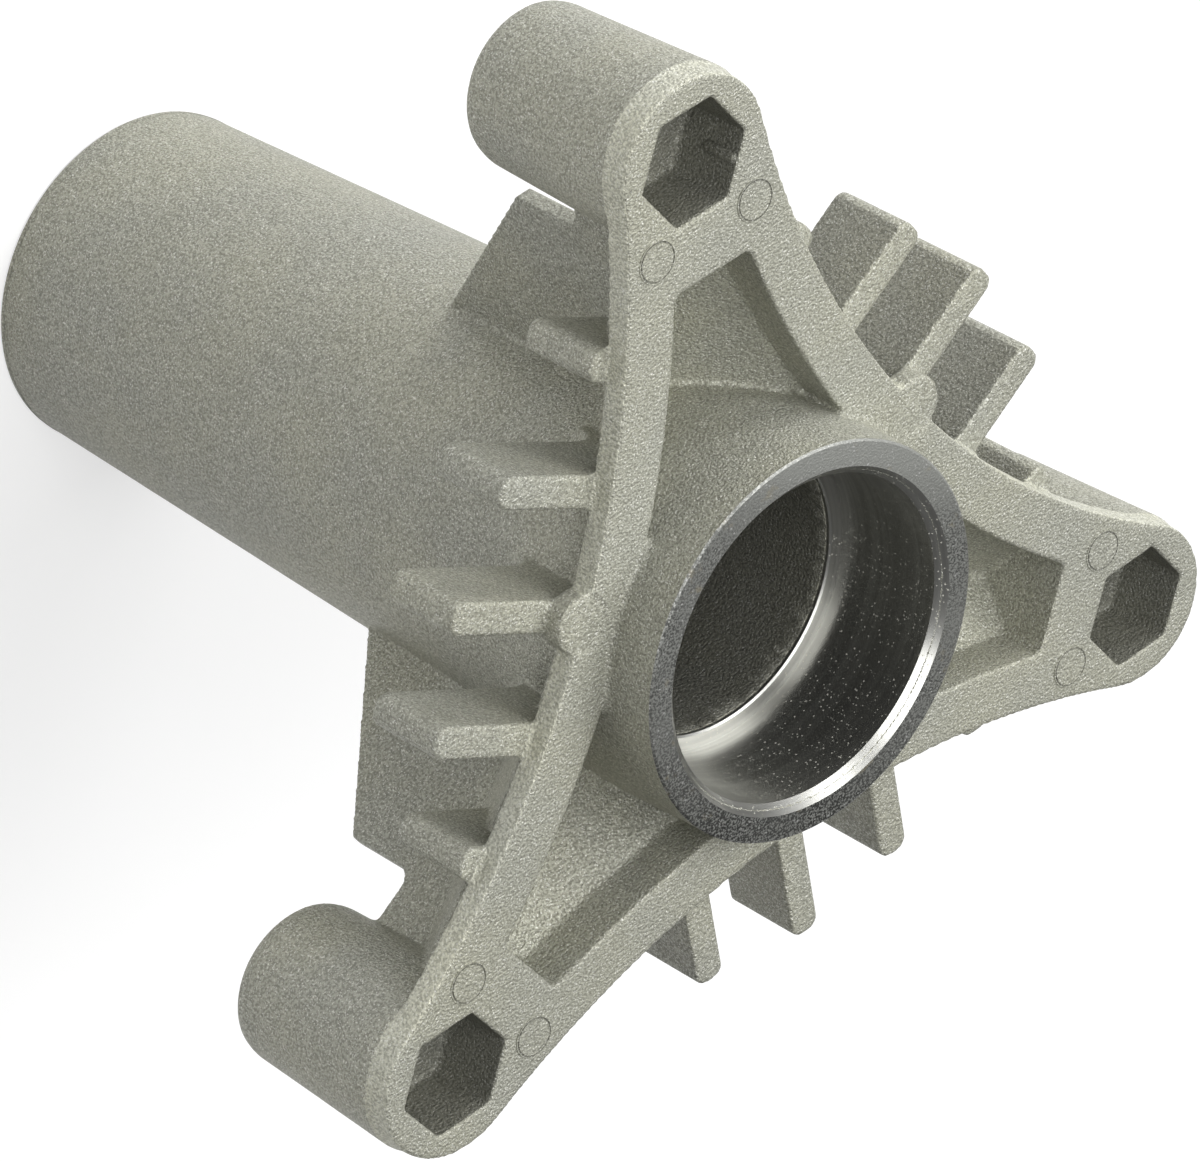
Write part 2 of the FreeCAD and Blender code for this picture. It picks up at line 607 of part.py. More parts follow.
bore = body.newObject("PartDesign::Groove", "Bore")
bore.Profile = bore_sketch
bore.ReferenceAxis = (ORIGIN["Z_Axis"], [""])
bore.Angle = 360
body.Tip = bore
doc.recompute()
if not body.Shape.Volume < before - LEAST_CUT:
    raise RuntimeError("the bore cuts nothing")

# The hexagonal pocket in the face of a boss, with a flat towards the tube.
hex_sketch = new_sketch("HexOutline", "XY_Plane", "tube_length")
flat = S["hex_flats"] / 2
corner_r = flat / math.cos(math.radians(30))
hex_points = []
for k in range(6):
    turn = 60 * k
    across = corner_r * math.cos(math.radians(turn))
    along = corner_r * math.sin(math.radians(turn))
    x_text = "hex_flats / 2 / cos(30 deg) * cos(%d deg)" % turn
    y_text = "boss_circle + hex_flats / 2 / cos(30 deg) * sin(%d deg)" % turn
    hex_points.append(((across, x_text), (S["boss_circle"] + along, y_text)))
outline(hex_sketch, hex_points)
polar(cut("HexPocket", hex_sketch, "hex_depth"))

# The blind hole in the back of a boss for its deck screw.
hole_sketch = new_sketch("ScrewHole", "XY_Plane", "tube_length - boss_length")
hole_sketch.addGeometry(
    Part.Circle(Vec(0, S["boss_circle"], 0), Vec(0, 0, 1), S["screw_radius"]), False)
at(hole_sketch, 0, 3, zero, (S["boss_circle"], "boss_circle"))
bind(hole_sketch, Sketcher.Constraint("Radius", 0, S["screw_radius"]), "screw_radius")
polar(cut("BossHole", hole_sketch, "screw_depth", up=True))

doc.recompute()
for item in doc.Objects:
    if "Invalid" in item.State or "Error" in item.State:
        raise RuntimeError("%s failed: %s" % (item.Name, item.State))
shape = body.Shape
if shape.isNull() or not shape.isValid():
    raise RuntimeError("the housing's shape is not valid")
if len(shape.Solids) != 1:
    raise RuntimeError("the housing has %d solids" % len(shape.Solids))
box = shape.BoundBox
print("spindle_housing: volume %.0f mm3, X %.2f %.2f, Y %.2f %.2f, Z %.2f %.2f, faces %d" % (
    shape.Volume, box.XMin, box.XMax, box.YMin, box.YMax, box.ZMin, box.ZMax, len(shape.Faces)))

os.makedirs("parts", exist_ok=True)
shape.exportStep("parts/spindle_housing.step")
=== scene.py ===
import json
import math

import bmesh
import bpy
from mathutils import Matrix, Vector, noise


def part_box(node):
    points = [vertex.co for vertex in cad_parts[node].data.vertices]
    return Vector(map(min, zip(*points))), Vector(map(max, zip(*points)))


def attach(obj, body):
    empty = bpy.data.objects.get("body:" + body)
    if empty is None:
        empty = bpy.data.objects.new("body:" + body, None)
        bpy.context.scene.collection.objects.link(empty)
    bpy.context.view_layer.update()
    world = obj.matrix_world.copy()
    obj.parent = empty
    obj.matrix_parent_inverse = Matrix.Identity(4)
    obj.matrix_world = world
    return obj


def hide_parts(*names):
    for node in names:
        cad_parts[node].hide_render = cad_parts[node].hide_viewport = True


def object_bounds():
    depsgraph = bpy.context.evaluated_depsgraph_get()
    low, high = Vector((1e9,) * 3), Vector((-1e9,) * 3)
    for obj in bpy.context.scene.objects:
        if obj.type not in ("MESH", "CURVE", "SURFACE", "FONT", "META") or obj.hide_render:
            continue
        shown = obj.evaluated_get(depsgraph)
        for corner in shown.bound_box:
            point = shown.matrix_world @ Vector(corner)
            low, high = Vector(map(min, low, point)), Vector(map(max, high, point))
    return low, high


bl_info = {
    "name": "Deck spindle housing",
    "version": (1, 0, 0),
    "blender": (4, 5, 0),
    "location": "3D View > Sidebar > Spindle",
    "description": "Finishes the cast housing of a mower deck spindle and sets up its studio",
    "category": "Object",
}

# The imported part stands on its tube's end, with the tube's axis on Z. One node is
# the whole casting. Blender's lengths are in metres, and MM turns millimetres to them.
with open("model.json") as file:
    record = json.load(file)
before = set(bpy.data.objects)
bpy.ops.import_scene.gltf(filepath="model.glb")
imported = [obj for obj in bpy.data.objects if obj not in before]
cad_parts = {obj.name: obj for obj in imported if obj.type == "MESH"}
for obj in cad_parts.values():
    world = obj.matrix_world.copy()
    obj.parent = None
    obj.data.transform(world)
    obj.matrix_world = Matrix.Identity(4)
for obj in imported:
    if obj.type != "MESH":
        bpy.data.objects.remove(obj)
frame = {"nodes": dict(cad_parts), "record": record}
CASTING_NODE = "spindle_housing"
CAD_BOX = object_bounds()
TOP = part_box(CASTING_NODE)[1].z
MM = 0.001
MERGE = 0.001 * MM

# The flange's outline: three noses about the bosses, joined by three hollow sides. A
# hollow side is an arc that touches two noses and comes as near to the axis as
# SIDE_REACH. The arms are turned from +Y, and the sides from +X.
COLLAR_RISE = 7.0 * MM
FLANGE = TOP - COLLAR_RISE
LIP_THICK = 3.0 * MM
BOSS_CIRCLE = 62.3 * MM
LIP_NOSE = 10.25 * MM
SIDE_REACH = 29.5 * MM
SIDE_RADIUS = ((0.75 * BOSS_CIRCLE ** 2 + (SIDE_REACH - BOSS_CIRCLE / 2) ** 2 - LIP_NOSE ** 2)
               / (2 * (LIP_NOSE + BOSS_CIRCLE / 2 - SIDE_REACH)))
SIDE_CENTRE = SIDE_REACH + SIDE_RADIUS
ARM_TURNS = (0, 120, 240)
SIDE_TURNS = (30, 150, 270)

# The hexagonal sockets in the bosses, measured a little past their floor and corners.
SOCKET_DEPTH = 10.0 * MM
SOCKET_CORNER = 7.9 * MM

# The ejector pads lie on the flange, at the middle of the two sides toward +Y.
PAD_RADIUS = 3.6 * MM
PAD_TURNS = (30, 150)

# Five fins stand on each side, the middle one on the side's own radius and two to each
# side of it. Their fronts lie a little lower than the flange's face.
FIN_PITCH = 14.7 * MM
FIN_THICK = 4.0 * MM
FIN_FRONT_DROP = 2.8 * MM
OUTER_FIN = 2
# On these two sides the fins' flanks that face -X are darkened with painted shade.
SHADED_SIDES = (30, 270)

# The ejector pins left two marks on each arm, this far out and to each side.
PIN_OUT = 53.4 * MM
PIN_ASIDE = 7.3 * MM

# The full turns of the seats and of a pin mark are made in this many steps.
RING_STEPS = 256
MARK_STEPS = 48

# The lump of flash in the socket of the arm along +Y.
FLASH_SIZE = (1.4 * MM, 1.5 * MM, 5.0 * MM)
FLASH_ROUND = 0.45 * MM
FLASH_PLACE = Vector((6.2 * MM, BOSS_CIRCLE - 3.1 * MM, FLANGE - 2.9 * MM))
FLASH_TURN = 60


def turned(point, degrees):
    """A point or a direction, turned about the part's axis."""
    return Matrix.Rotation(math.radians(degrees), 3, "Z") @ Vector(point)


def aside(point, other):
    """How far apart two points lie, seen along the part's axis."""
    return math.hypot(point.x - other.x, point.y - other.y)


BOSSES = [turned((0, BOSS_CIRCLE, 0), turn) for turn in ARM_TURNS]
SIDE_CENTRES = [turned((SIDE_CENTRE, 0, 0), turn) for turn in SIDE_TURNS]
PADS = [turned((SIDE_REACH, 0, 0), turn) for turn in PAD_TURNS]


def mount_size(name, key):
    """A size of one of the record's mounts, in metres."""
    for mount in frame["record"]["mounts"]:
        if mount["name"] == name:
            return mount["dims"][key] * MM
    raise RuntimeError("the record has no mount %s" % name)


# The turned seats. Behind a turned ring the casting is drawn back by a share of the
# ring's thickness, and at a faced end the ring is thicker by half.
UPPER_RADIUS = mount_size("upper_bearing_seat", "r_mm")
LOWER_RADIUS = mount_size("lower_bearing_seat", "r_mm")
LOWER_DEPTH = mount_size("lower_bearing_seat", "length_mm")
DRAW_BACK = 0.85
FACE_THICKER = 1.5

# How many swells of the cast surface lie in one metre, and how much they count.
BROAD_SWELLS = 160.0
CLOSE_SWELLS = 620.0
BROAD_SHARE = 0.65


class CastingSettings(bpy.types.PropertyGroup):
    """Form and finish of the raw casting."""
    skin: bpy.props.FloatProperty(
        name="Skin grid", description="Grid on which the cast skin is rebuilt",
        default=0.36 * MM, unit="LENGTH")
    softening: bpy.props.IntProperty(
        name="Softening", description="Rounds of smoothing that soften the cast edges",
        default=2, min=0, max=20)
    triangles: bpy.props.IntProperty(
        name="Triangles", description="Most triangles that the cast skin keeps",
        default=190000, min=10000, max=199000)
    swell: bpy.props.FloatProperty(
        name="Unevenness", description="How far the cast surface swells and dips",
        default=0.012 * MM, unit="LENGTH")
    pad_sink: bpy.props.FloatProperty(
        name="Pad sink", description="How far the ejector pads lie under the flange's face",
        default=0.18 * MM, unit="LENGTH")
    grain: bpy.props.FloatProperty(
        name="Grain", description="Size of one grain of the blasted surface",
        default=0.33 * MM, unit="LENGTH")
    light: bpy.props.FloatVectorProperty(
        name="Bright grain", description="Colour of the blasted metal's bright grains",
        default=(0.495, 0.492, 0.412), size=3, subtype="COLOR", min=0, max=1)
    dark: bpy.props.FloatVectorProperty(
        name="Dark grain", description="Colour of the hollows between the grains",
        default=(0.31, 0.307, 0.254), size=3, subtype="COLOR", min=0, max=1)
    mark_radius: bpy.props.FloatProperty(
        name="Pin mark", description="Radius of a mark left by an ejector pin",
        default=2.55 * MM, unit="LENGTH")


class SeatSettings(bpy.types.PropertyGroup):
    """Sizes and finish of the two machined bearing seats and the faced ends."""
    collar_radius: bpy.props.FloatProperty(
        name="Collar", description="Outside radius of the collar's face",
        default=24.35 * MM, unit="LENGTH")
    depth: bpy.props.FloatProperty(
        name="Upper seat depth", description="From the collar's face to the seat's shoulder",
        default=16.5 * MM, unit="LENGTH")
    lead: bpy.props.FloatProperty(
        name="Lead-in", description="Bevel at the mouth of the upper seat",
        default=1.2 * MM, unit="LENGTH")
    core_radius: bpy.props.FloatProperty(
        name="Core at the top", description="Radius of the cast bore at the upper shoulder",
        default=18.15 * MM, unit="LENGTH")
    end_radius: bpy.props.FloatProperty(
        name="Tube end", description="Outside radius of the tube at its end",
        default=21.2 * MM, unit="LENGTH")
    end_bevel: bpy.props.FloatProperty(
        name="End bevel", description="Bevel round the end of the tube",
        default=0.3 * MM, unit="LENGTH")
    core_end_radius: bpy.props.FloatProperty(
        name="Core at the end", description="Radius of the cast bore at the lower shoulder",
        default=16.3 * MM, unit="LENGTH")
    skin: bpy.props.FloatProperty(
        name="Turned skin", description="Thickness of the turned metal that is made apart",
        default=0.6 * MM, unit="LENGTH")
    bright: bpy.props.FloatVectorProperty(
        name="Turned metal", description="Colour of the freshly turned aluminium",
        default=(0.56, 0.56, 0.53), size=3, subtype="COLOR", min=0, max=1)
    dull: bpy.props.FloatVectorProperty(
        name="Faced metal", description="Colour of the dark, smeared face of the collar",
        default=(0.172, 0.175, 0.164), size=3, subtype="COLOR", min=0, max=1)


class StageSettings(bpy.types.PropertyGroup):
    """Floor, lamps and camera."""
    floor_size: bpy.props.FloatProperty(
        name="Floor", description="Side of the square floor", default=8.0, unit="LENGTH")
    key_power: bpy.props.FloatProperty(
        name="Key lamp", description="Power of the large lamp above the flange",
        default=10.3, unit="POWER")
    over_power: bpy.props.FloatProperty(
        name="Overhead lamp", description="Power of the lamp above the camera",
        default=7.0, unit="POWER")
    rim_power: bpy.props.FloatProperty(
        name="Rim lamp", description="Power of the low lamp that lights the tube's upper edge",
        default=5.0, unit="POWER")
    sky: bpy.props.FloatProperty(
        name="Room light", description="Light that reaches the part from all round",
        default=0.1, min=0)
    glow: bpy.props.FloatProperty(
        name="Paper glow", description="How much the camera sees the paper lifted to white",
        default=0.6, min=0, max=1)
    lens: bpy.props.FloatProperty(
        name="Lens", description="Focal length on a 36 mm sensor, in millimetres",
        default=251.256)


def link_object(name, data):
    thing = bpy.data.objects.new(name, data)
    bpy.context.scene.collection.objects.link(thing)
    return thing


def ride_root(piece):
    """The housing is one body, so every piece moves with it."""
    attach(piece, "root")


def to_mesh(work, name, materials):
    """Close a bmesh into a new, smoothly shaded mesh with its materials."""
    mesh = bpy.data.meshes.new(name)
    work.to_mesh(mesh)
    work.free()
    for material in materials:
        mesh.materials.append(material)
    for face in mesh.polygons:
        face.use_smooth = True
    return mesh


# Node groups

class Tree:
    """Short hand for a node tree: makes nodes, sets their values and links them."""

    def __init__(self, tree):
        self.tree = tree

    def link(self, source, target):
        self.tree.links.new(source, target)

    def node(self, kind, values=None, **settings):
        made = self.tree.nodes.new(kind)
        for key, value in settings.items():
            setattr(made, key, value)
        for key, value in (values or {}).items():
            if isinstance(value, bpy.types.NodeSocket):
                self.link(value, made.inputs[key])
            else:
                made.inputs[key].default_value = value
        return made

    def math(self, operation, first, second=0.0):
        made = self.node("ShaderNodeMath", {0: first, 1: second}, operation=operation)
        return made.outputs[0]

    def mix(self, factor, first, second, blend="MIX"):
        """Blend two colours."""
        made = self.node("ShaderNodeMix", {0: factor, 6: first, 7: second},
                         data_type="RGBA", blend_type=blend)
        return made.outputs[2]

    def between(self, value, low, high, to_low=0.0, to_high=1.0):
        """Ease from one value to another while the input goes from low to high."""
        made = self.node("ShaderNodeMapRange", {
            "Value": value, "From Min": low, "From Max": high,
            "To Min": to_low, "To Max": to_high})
        made.interpolation_type = "SMOOTHSTEP"
        return made.outputs["Result"]

    def split(self, vector):
        """The X, Y and Z of a vector."""
        parts = self.node("ShaderNodeSeparateXYZ", {"Vector": vector}).outputs
        return parts["X"], parts["Y"], parts["Z"]

    def join(self, x, y, z):
        made = self.node("ShaderNodeCombineXYZ", {"X": x, "Y": y, "Z": z})
        return made.outputs["Vector"]

    def noise(self, vector, scale, detail, roughness=0.5):
        """Cloudy noise. Scale is how many features lie in one unit of the vector."""
        made = self.node("ShaderNodeTexNoise", {
            "Vector": vector, "Scale": scale, "Detail": detail, "Roughness": roughness})
        return made.outputs["Fac"]


def new_group(name, inputs, outputs):
    """A shader node group with named sockets: floats, but for Vector."""
    group = bpy.data.node_groups.new(name, "ShaderNodeTree")
    for label in inputs:
        kind = "NodeSocketVector" if label == "Vector" else "NodeSocketFloat"
        group.interface.new_socket(name=label, in_out="INPUT", socket_type=kind)
    for label in outputs:
        group.interface.new_socket(name=label, in_out="OUTPUT", socket_type="NodeSocketFloat")
    tree = Tree(group)
    source = group.nodes.new("NodeGroupInput")
    drain = group.nodes.new("NodeGroupOutput")
    return group, tree, source.outputs, drain.inputs


def grain_group():
    """Shot-blasted skin: small overlapping dimples, and a mask of painted glints on their high
    points.
    """
    group, tree, given, wanted = new_group(
        "blasted_grain", ("Vector", "Scale"), ("Height", "Tone", "Sparkle"))
    height = tree.noise(given["Vector"], given["Scale"], 2.0)
    finer = tree.math("MULTIPLY", given["Scale"], 1.6)
    crests = tree.noise(given["Vector"], finer, 0.0)
    tree.link(height, wanted["Height"])
    tree.link(tree.between(height, 0.34, 0.66), wanted["Tone"])
    tree.link(tree.between(crests, 0.64, 0.74), wanted["Sparkle"])
    return group


def patches_group():
    """Broad uneven toning, from slow cooling in the mould and from handling."""
    group, tree, given, wanted = new_group(
        "uneven_toning", ("Vector", "Scale"), ("Cloud", "Stain"))
    broad = tree.noise(given["Vector"], given["Scale"], 2.0, 0.55)
    finer = tree.math("MULTIPLY", given["Scale"], 2.3)
    spots = tree.noise(given["Vector"], finer, 3.0, 0.65)
    tree.link(tree.between(broad, 0.3, 0.7), wanted["Cloud"])
    tree.link(tree.between(spots, 0.6, 0.72), wanted["Stain"])
    return group


def specks_group():
    """Scattered small points: pores, dust and chips of metal. Share is how many of the
    cells hold a point."""
    group, tree, given, wanted = new_group(
        "specks", ("Vector", "Scale", "Share"), ("Mask",))
    cells = tree.node("ShaderNodeTexVoronoi", {
        "Vector": given["Vector"], "Scale": given["Scale"]}, feature="F1")
    pick = tree.node("ShaderNodeSeparateColor", {"Color": cells.outputs["Color"]})
    chosen = tree.math("LESS_THAN", pick.outputs["Red"], given["Share"])
    reach = tree.math("MULTIPLY", pick.outputs["Green"], 0.35)
    near = tree.math("LESS_THAN", cells.outputs["Distance"], reach)
    tree.link(tree.math("MULTIPLY", chosen, near), wanted["Mask"])
    return group


def turning_group():
    """Fine rings left by a lathe tool. Across is 0 on a bored wall, where they lie
    side by side along the axis, and 1 on a faced end, where they lie along the radius."""
    group, tree, given, wanted = new_group(
        "turning_rings", ("Vector", "Scale", "Across"), ("Height", "Streak"))
    x, y, z = tree.split(given["Vector"])
    radius = tree.math("SQRT", tree.math(
        "ADD", tree.math("MULTIPLY", x, x), tree.math("MULTIPLY", y, y)))
    step = tree.math("ADD", tree.math("MULTIPLY", radius, given["Across"]), tree.math(
        "MULTIPLY", z, tree.math("SUBTRACT", 1.0, given["Across"])))
    pitch = tree.math("MULTIPLY", step, given["Scale"])

    def drawn_out(pitch, round_scale):
        return tree.join(pitch, tree.math("MULTIPLY", x, round_scale),
                         tree.math("MULTIPLY", y, round_scale))

    rings = tree.noise(drawn_out(pitch, 16.0), 1.0, 0.0)
    bands = tree.noise(drawn_out(tree.math("MULTIPLY", pitch, 0.22), 30.0), 1.0, 2.0)
    tree.link(rings, wanted["Height"])
    tree.link(tree.between(bands, 0.35, 0.7), wanted["Streak"])
    return group


GROUP_MAKERS = {"blasted_grain": grain_group, "uneven_toning": patches_group,
                "specks": specks_group, "turning_rings": turning_group}


def use_group(tree, name, values):
    """Place a shared group in a material, making it the first time."""
    group = bpy.data.node_groups.get(name) or GROUP_MAKERS[name]()
    return tree.node("ShaderNodeGroup", values, node_tree=group).outputs


# Materials

# The first colour is that of the painted glints on the blasted grain; the others are the metal's
# own tones, pores, dust, stains and chips.
PAINTED_GLINT = (0.85, 0.85, 0.79)
PORE = (0.08, 0.08, 0.07)
COOL_TONE = (0.93, 0.94, 0.96)
WARM_TONE = (1.0, 1.0, 0.97)
DUST = (0.62, 0.61, 0.54)
BROWN_STAIN = (0.36, 0.31, 0.20)
BARE_CHIP = (0.62, 0.62, 0.61)

# Each finish of the casting, in the order of its mesh's slots: how bright it is beside the plain
# blasted skin, and the share of cells that hold a pore. Only the plain skin is the metal's own
# tone: the bore, the sockets and the fins' flanks on two sides are darkened with painted shade,
# and the lip's edge is lightened with painted light.
CAST_FINISHES_AND_SHADE = {"blasted_casting": (1.0, 0.004), "shaded_bore": (0.34, 0.01),
                 "lit_lip_edge": (1.45, 0.004), "shaded_socket": (0.55, 0.004),
                 "shaded_fin_flank": (0.7, 0.004)}


def new_material(name, metallic, roughness):
    material = bpy.data.materials.new(name)
    material.use_nodes = True
    material.node_tree.nodes.clear()
    tree = Tree(material.node_tree)
    output = tree.node("ShaderNodeOutputMaterial")
    shader = tree.node("ShaderNodeBsdfPrincipled", {"Metallic": metallic, "Roughness": roughness})
    tree.link(shader.outputs["BSDF"], output.inputs["Surface"])
    place = tree.node("ShaderNodeTexCoord").outputs["Object"]
    return material, tree, shader, place


def shade(colour, factor=1.0):
    return (colour[0] * factor, colour[1] * factor, colour[2] * factor, 1.0)


def finish_shader(tree, shader, colour, roughness, height, strength, distance):
    tree.link(colour, shader.inputs["Base Color"])
    tree.link(roughness, shader.inputs["Roughness"])
    bump = tree.node("ShaderNodeBump", {"Strength": strength, "Distance": distance,
                                        "Height": height})
    tree.link(bump.outputs["Normal"], shader.inputs["Normal"])


def cast_material(settings, name):
    """Shot-blasted die-cast aluminium, in one of the casting's finishes. A brightness under 1 is
    painted shade, and one over 1 is painted light.
    """
    bright, pore_share = CAST_FINISHES_AND_SHADE[name]
    material, tree, shader, place = new_material(name, 0.3, 0.5)
    grain = use_group(tree, "blasted_grain", {"Vector": place, "Scale": 1.0 / settings.grain})
    toning = use_group(tree, "uneven_toning", {"Vector": place, "Scale": 55.0})
    pores = use_group(tree, "specks", {"Vector": place, "Scale": 1300.0, "Share": pore_share})
    # Bright scales the grain's colours: painted shade where it is under 1, painted light where it
    # is over 1.
    colour = tree.mix(grain["Tone"], shade(settings.dark, bright), shade(settings.light, bright))
    tone = tree.mix(toning["Cloud"], shade(COOL_TONE), shade(WARM_TONE))
    toned = tree.mix(1.0, colour, tone, blend="MULTIPLY")
    # Painted glints on the grain's high points, dimmed where the finish carries painted shade.
    glint = shade(PAINTED_GLINT, min(1.1 * bright, 1.0))
    lit = tree.mix(tree.math("MULTIPLY", grain["Sparkle"], 0.7), toned, glint)
    pitted = tree.mix(tree.math("MULTIPLY", pores["Mask"], 0.5), lit, shade(PORE))
    rough = tree.between(grain["Tone"], 0.0, 1.0, 0.62, 0.44)
    finish_shader(tree, shader, pitted, rough, grain["Height"], 1.0, 0.32 * MM)
    return material


def turned_material(settings, name, across):
    """Bright turned aluminium of the bearing seats, with dust on it."""
    material, tree, shader, place = new_material(name, 1.0, 0.2)
    rings = use_group(tree, "turning_rings", {
        "Vector": place, "Scale": 5500.0, "Across": across})
    specks = use_group(tree, "specks", {"Vector": place, "Scale": 2800.0, "Share": 0.45})
    metal = tree.mix(rings["Streak"], shade(settings.bright, 0.8), shade(settings.bright))
    dusty = tree.mix(tree.math("MULTIPLY", specks["Mask"], 0.85), metal, shade(DUST))
    metallic = tree.math("SUBTRACT", 0.93, tree.math("MULTIPLY", specks["Mask"], 0.7))
    tree.link(metallic, shader.inputs["Metallic"])
    rough = tree.math("ADD", tree.between(rings["Streak"], 0.0, 1.0, 0.295, 0.31),
                      tree.math("MULTIPLY", specks["Mask"], 0.4))
    finish_shader(tree, shader, dusty, rough, rings["Height"], 0.2, 0.002 * MM)
    return material


def faced_material(settings):
    """The ends, faced by a blunt tool, with a mottle of grit. Painted shade darkens the gaps in
    the grit on one side, and painted light lifts the other side to a smooth, lighter tone. Side
    grows across the face, from the one to the other."""
    material, tree, shader, place = new_material("faced_aluminium", 0.6, 0.42)
    mottle = use_group(tree, "uneven_toning", {"Vector": place, "Scale": 3600.0})
    broad = use_group(tree, "uneven_toning", {"Vector": place, "Scale": 110.0})
    specks = use_group(tree, "specks", {"Vector": place, "Scale": 2400.0, "Share": 0.35})
    grit = tree.between(mottle["Cloud"], 0.1, 0.9)
    base = tree.mix(grit, shade(settings.dull, 0.4), shade(settings.dull, 1.85))
    smeared = tree.mix(tree.math("MULTIPLY", broad["Cloud"], 0.45), base,
                       shade(settings.dull, 1.5))
    # Side runs across the face. Towards its low end painted shade darkens the gaps in the grit;
    # towards its high end painted light lifts the face to a smooth, lighter tone.
    x, y = tree.split(place)[:2]
    side = tree.math("ADD", tree.math("MULTIPLY", x, 0.5), tree.math("MULTIPLY", y, 0.86))
    painted_shade_amount = tree.between(side, -24 * MM, -4 * MM, 0.75, 0.0)
    gaps = tree.between(mottle["Cloud"], 0.35, 0.95, 1.0, 0.0)
    shaded_gaps = tree.mix(tree.math("MULTIPLY", painted_shade_amount, gaps), smeared, shade(settings.dull, 0.15))
    smooth = tree.between(side, 12 * MM, 24 * MM, 0.0, 0.7)
    lit_side = tree.mix(smooth, shaded_gaps, shade(settings.dull, 2.4))
    stained = tree.mix(tree.math("MULTIPLY", broad["Stain"], 0.4), lit_side, shade(BROWN_STAIN))
    chipped = tree.mix(tree.math("MULTIPLY", specks["Mask"], 0.6), stained, shade(BARE_CHIP))
    rough = tree.between(mottle["Cloud"], 0.0, 1.0, 0.6, 0.38)
    finish_shader(tree, shader, chipped, rough, mottle["Cloud"], 0.7, 0.04 * MM)
    return material


# The casting

def clear_turned_zones(point, seats):
    """Where a turned ring lies, draw the rebuilt skin back into the metal, so that
    only the ring shows there."""
    radius = math.hypot(point.x, point.y)
    if radius < 1 * MM:
        return point
    back = DRAW_BACK * seats.skin
    new_radius, z = radius, point.z
    if radius < seats.collar_radius + seats.skin:
        z = min(z, TOP - back)
    if z > TOP - seats.depth - back and radius < UPPER_RADIUS + back:
        new_radius = UPPER_RADIUS + back
    if radius < seats.end_radius + seats.skin:
        z = max(z, back)
    if z < LOWER_DEPTH + back and radius < LOWER_RADIUS + back:
        new_radius = LOWER_RADIUS + back
    if new_radius == radius:
        return Vector((point.x, point.y, z))
    grow = new_radius / radius
    return Vector((point.x * grow, point.y * grow, z))


def on_lip_edge(point, normal):
    """Whether a point lies on the edge of the flange's lip, which is lightened with painted
    light. The edge is upright, so what faces up or down is no part of it."""
    low, high = FLANGE - LIP_THICK - 0.3 * MM, FLANGE - 0.1 * MM
    if not low < point.z < high or abs(normal.z) > 0.75:
        return False
    near = 0.9 * MM
    return (any(abs(aside(point, boss) - LIP_NOSE) < near for boss in BOSSES)
            or any(abs(aside(point, centre) - SIDE_RADIUS) < near for centre in SIDE_CENTRES))


def on_shaded_flank(point, normal):
    """Whether a point lies on a fin's flank that faces -X, on the two sides to the right in the
    camera's view. Those flanks are darkened with painted shade, to be the darkest of the blasted
    faces."""
    if normal.x > -0.3 or point.z > FLANGE - FIN_FRONT_DROP - 0.1 * MM:
        return False
    near = 0.4 * MM
    for turn in SHADED_SIDES:
        local, facing = turned(point, -turn), turned(normal, -turn)
        fin = round(local.y / FIN_PITCH)
        gap = abs(abs(local.y - fin * FIN_PITCH) - FIN_THICK / 2)
        if local.x > 0 and abs(fin) <= OUTER_FIN and gap < near and abs(facing.y) > 0.9:
            return True
    return False


def in_socket(point):
    """Whether a point lies on the inside of one of the hexagonal sockets."""
    floor, mouth = FLANGE - SOCKET_DEPTH, FLANGE - 0.35 * MM
    return floor < point.z < mouth and any(aside(point, boss) < SOCKET_CORNER for boss in BOSSES)


def cast_finish_and_shade(point, normal, bore_radius):
    """The name of the casting's material at a point: the plain blasted skin, a finish darkened
    with painted shade, or the lip's edge with painted light.
    """
    end = 2 * MM
    # Inside the bore the casting is darkened with painted shade.
    if math.hypot(point.x, point.y) < bore_radius and end < point.z < TOP - end:
        return "shaded_bore"
    # The lip's edge is lightened with painted light.
    if on_lip_edge(point, normal):
        return "lit_lip_edge"
    # Inside the sockets the casting is darkened with painted shade.
    if in_socket(point):
        return "shaded_socket"
    # The fins' flanks that face -X on two sides are darkened with painted shade.
    if on_shaded_flank(point, normal):
        return "shaded_fin_flank"
    return "blasted_casting"


def sink_pads(point, depth):
    """The two ejector pads stand a little lower than the flange's face."""
    near = 0.3 * MM
    if abs(point.z - FLANGE) <= near and any(aside(point, pad) < PAD_RADIUS for pad in PADS):
        return point - Vector((0, 0, depth))
    return point


def uneven(point, normal, swell):
    """Slow swells and dips of a cast surface."""
    broad = noise.noise(point * BROAD_SWELLS)
    close = noise.noise(point * CLOSE_SWELLS + Vector((7.0, 3.0, 1.0)))
    return point + normal * (swell * (BROAD_SHARE * broad + (1 - BROAD_SHARE) * close))


def inside_box(point):
    """Keep a point a hair inside the CAD solid's box."""
    hair = 0.01 * MM
    low, high = CAD_BOX
    return Vector(min(max(at, least + hair), most - hair)
                  for at, least, most in zip(point, low, high))


def merged_copy(node):
    """A copy of a CAD node's mesh, with the corners that its faces share joined."""
    mesh = node.data.copy()
    work = bmesh.new()
    work.from_mesh(mesh)
    bmesh.ops.remove_doubles(work, verts=work.verts, dist=MERGE)
    work.to_mesh(mesh)
    work.free()
    return mesh


def result_of(piece):
    """A new mesh of a piece, with its modifiers applied."""
    depsgraph = bpy.context.evaluated_depsgraph_get()
    return bpy.data.meshes.new_from_object(piece.evaluated_get(depsgraph))


